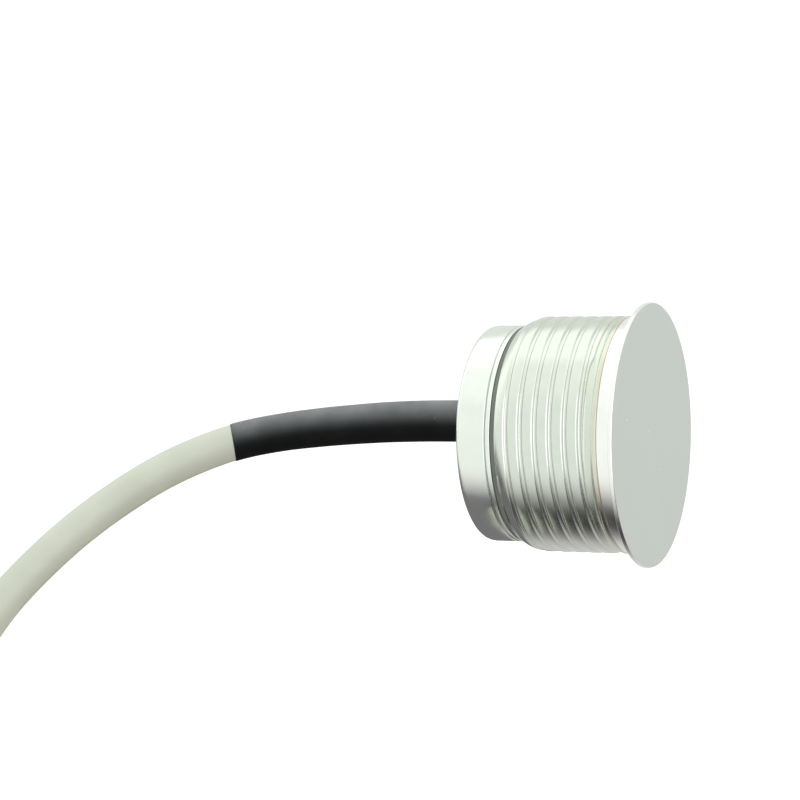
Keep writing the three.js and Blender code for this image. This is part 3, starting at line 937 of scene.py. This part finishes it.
# studio
studio = {
    "floorColours": ((0.88, 0.88, 0.87), (0.92, 0.92, 0.91)),
    "floorGlow": 0.45, "floorSize": 3.0, "floorCloud": 6, "floorRoughness": 0.9, "floorGloss": 0.1,
    "backdropRadius": 2.6, "backdropGlow": 1.2,
    "skyTop": (0.86, 0.93, 0.86), "skySide": (0.77, 0.79, 0.75), "skyLow": (0.50, 0.46, 0.42),
    "tentRadius": 0.45, "tentHalf": 0.7, "tentPower": 2.0,
    "sleevePower": 6.0, "sleevePlace": (-0.032, -0.012, 0.15), "sleeveSize": 0.08,
    "keyPower": 0.5, "keyPlace": (0.0, -0.12, 0.5), "keySize": 0.35,
    "tentCool": (0.945, 1.0, 0.915), "tentWarm": (1.0, 0.985, 0.945),
    "sideGlow": 1.6, "sidePlace": (0.235, -0.28, 0.03), "sideSize": (0.52, 0.46),
    "flagGlow": 0.19, "flagLow": (-0.085, -0.016, -0.022), "flagHigh": (-0.0195, 0.2),
}
# the light tent by angle round the probe's axis, 0 in front and 90 overhead: brightness, warmth
tentStops = (
    (-180, 0.80, 0), (-150, 0.74, 0.6), (-126, 0.60, 1), (-112, 0.28, 1), (-100, 0.09, 1), (-88, 0.04, 1),
    (-76, 0.10, 1), (-66, 0.34, 0.8), (-56, 0.64, 0.6), (-46, 0.90, 0.4), (-38, 1.0, 0.2), (0, 1.02, 0),
    (28, 1.03, 0), (46, 1.13, 0), (74, 1.16, 0), (84, 1.4, 0), (118, 1.35, 0), (126, 0.88, 0),
    (160, 0.82, 0), (180, 0.80, 0),
)


def hideFrom(thing, *rays):
    for ray in rays:
        setattr(thing, "visible_" + ray, False)


def makeFloor():
    half = studio["floorSize"] / 2
    mesh = bmesh.new()
    bmesh.ops.create_grid(mesh, x_segments=8, y_segments=8, size=half)
    floor = asObject("floor", mesh)
    floor.location.z = cadBox[0][2]
    finish, tree, shader = newFinish("paleFloor")
    cloud = stretchedNoise(tree, (1, 1, 1), studio["floorCloud"], 3.0)
    tree.links.new(colourBetween(tree, cloud, studio["floorColours"]), shader.inputs["Base Color"])
    shader.inputs["Roughness"].default_value = studio["floorRoughness"]
    shader.inputs["Specular IOR Level"].default_value = studio["floorGloss"]
    shader.inputs["Emission Color"].default_value = (1, 1, 1, 1)
    shader.inputs["Emission Strength"].default_value = studio["floorGlow"]
    dress(floor, finish)
    hideFrom(floor, "glossy", "diffuse")


def glow(name, strength):
    finish = bpy.data.materials.new(name)
    finish.use_nodes = True
    tree = finish.node_tree
    tree.nodes.clear()
    emission = tree.nodes.new("ShaderNodeEmission")
    output = tree.nodes.new("ShaderNodeOutputMaterial")
    tree.links.new(emission.outputs[0], output.inputs["Surface"])
    emission.inputs["Strength"].default_value = strength
    return finish, tree, emission


def makeBackdrop():
    mesh = bmesh.new()
    bmesh.ops.create_icosphere(mesh, subdivisions=4, radius=studio["backdropRadius"])
    backdrop = asObject("backdrop", mesh)
    dress(backdrop, glow("whiteGlow", studio["backdropGlow"])[0])
    hideFrom(backdrop, "diffuse", "glossy", "transmission", "shadow")


def makeTent():
    # a light tent round the probe that only its reflections see
    mesh = bmesh.new()
    bmesh.ops.create_cone(
        mesh, cap_ends=True, segments=96, radius1=studio["tentRadius"], radius2=studio["tentRadius"],
        depth=studio["tentHalf"] * 2,
    )
    for vertex in mesh.verts:
        vertex.co = Vector((vertex.co.z, vertex.co.x, vertex.co.y))
    tent = asObject("lightTent", mesh)
    finish, tree, emission = glow("tentGlow", 1.0)
    place = addNode(tree, "ShaderNodeTexCoord")
    parts = addNode(tree, "ShaderNodeSeparateXYZ", Vector=place.outputs["Object"])
    front = addNode(tree, "ShaderNodeMath", {"operation": "MULTIPLY", 1: -1.0}, Value=parts.outputs["Y"])
    angle = addNode(tree, "ShaderNodeMath", {"operation": "ARCTAN2"}, Value=parts.outputs["Z"])
    tree.links.new(front.outputs[0], angle.inputs[1])
    share = addNode(
        tree, "ShaderNodeMapRange", {"From Min": -math.pi, "From Max": math.pi}, Value=angle.outputs[0],
    )
    ramp = addNode(tree, "ShaderNodeValToRGB", Fac=share.outputs["Result"])
    stops = ramp.color_ramp.elements
    while len(stops) > 1:
        stops.remove(stops[-1])
    for i, (deg, light, warm) in enumerate(tentStops):
        stop = stops[0] if i == 0 else stops.new((deg + 180) / 360)
        stop.position = (deg + 180) / 360
        tint = [mix(a, b, warm) for a, b in zip(studio["tentCool"], studio["tentWarm"])]
        stop.color = (*(light / studio["tentPower"] * c for c in tint), 1)
    tree.links.new(ramp.outputs["Color"], emission.inputs["Color"])
    emission.inputs["Strength"].default_value = studio["tentPower"]
    dress(tent, finish)
    hideFrom(tent, "camera", "diffuse", "transmission", "shadow")


def makeCard(name, corners, strength):
    # a flat card that only reflections see
    mesh = bmesh.new()
    mesh.faces.new([mesh.verts.new(corner) for corner in corners])
    card = asObject(name, mesh)
    dress(card, glow(name + "Glow", strength)[0])
    hideFrom(card, "camera", "diffuse", "transmission", "shadow")


def makeSideCard():
    centre = Vector(studio["sidePlace"])
    across = centre.cross(Vector((0, 0, 1))).normalized() * studio["sideSize"][0] / 2
    upward = Vector((0, 0, studio["sideSize"][1] / 2))
    corners = [centre + across * a + upward * b for a, b in ((-1, -1), (1, -1), (1, 1), (-1, 1))]
    makeCard("sideCard", corners, studio["sideGlow"])


def makeFlag():
    x0, y0, z = studio["flagLow"]
    x1, y1 = studio["flagHigh"]
    makeCard("blackFlag", [(x0, y0, z), (x1, y0, z), (x1, y1, z), (x0, y1, z)], studio["flagGlow"])


def makeSky():
    world = bpy.data.worlds.new("studioSky")
    bpy.context.scene.world = world
    world.use_nodes = True
    tree = world.node_tree
    place = addNode(tree, "ShaderNodeTexCoord")
    parts = addNode(tree, "ShaderNodeSeparateXYZ", Vector=place.outputs["Generated"])
    ramp = addNode(tree, "ShaderNodeValToRGB", Fac=addNode(
        tree, "ShaderNodeMapRange", {"From Min": -1.0, "From Max": 1.0}, Value=parts.outputs["Z"],
    ).outputs["Result"])
    stops = ramp.color_ramp.elements
    levels = ((0.0, studio["skyLow"]), (0.5, studio["skySide"]), (1.0, studio["skyTop"]))
    stops.new(0.5)
    for stop, (position, light) in zip(stops, levels):
        stop.position = position
        stop.color = (*light, 1)
    sky = tree.nodes["Background"]
    sky.inputs["Strength"].default_value = 1.0
    tree.links.new(ramp.outputs["Color"], sky.inputs["Color"])


def softbox(name, power, size, place):
    data = bpy.data.lights.new(name, "AREA")
    data.energy = power
    data.size = size
    light = bpy.data.objects.new(name, data)
    light.location = place
    light.visible_glossy = False
    bpy.context.scene.collection.objects.link(light)
    return light


def makeKeyLight():
    place = studio["keyPlace"]
    light = softbox("overheadSoftbox", studio["keyPower"], studio["keySize"], place)
    light.rotation_euler = (-Vector(place)).to_track_quat("-Z", "Y").to_euler()


def makeSleeveLight():
    # a softbox above that only the sleeve takes light from
    light = softbox("sleeveSoftbox", studio["sleevePower"], studio["sleeveSize"], studio["sleevePlace"])
    lit = bpy.data.collections.new("sleeveLit")
    lit.objects.link(sleevePiece)
    light.light_linking.receiver_collection = lit


makeFloor()
makeBackdrop()
makeTent()
makeSideCard()
makeFlag()
makeSky()
makeKeyLight()
makeSleeveLight()
print("studio lit")
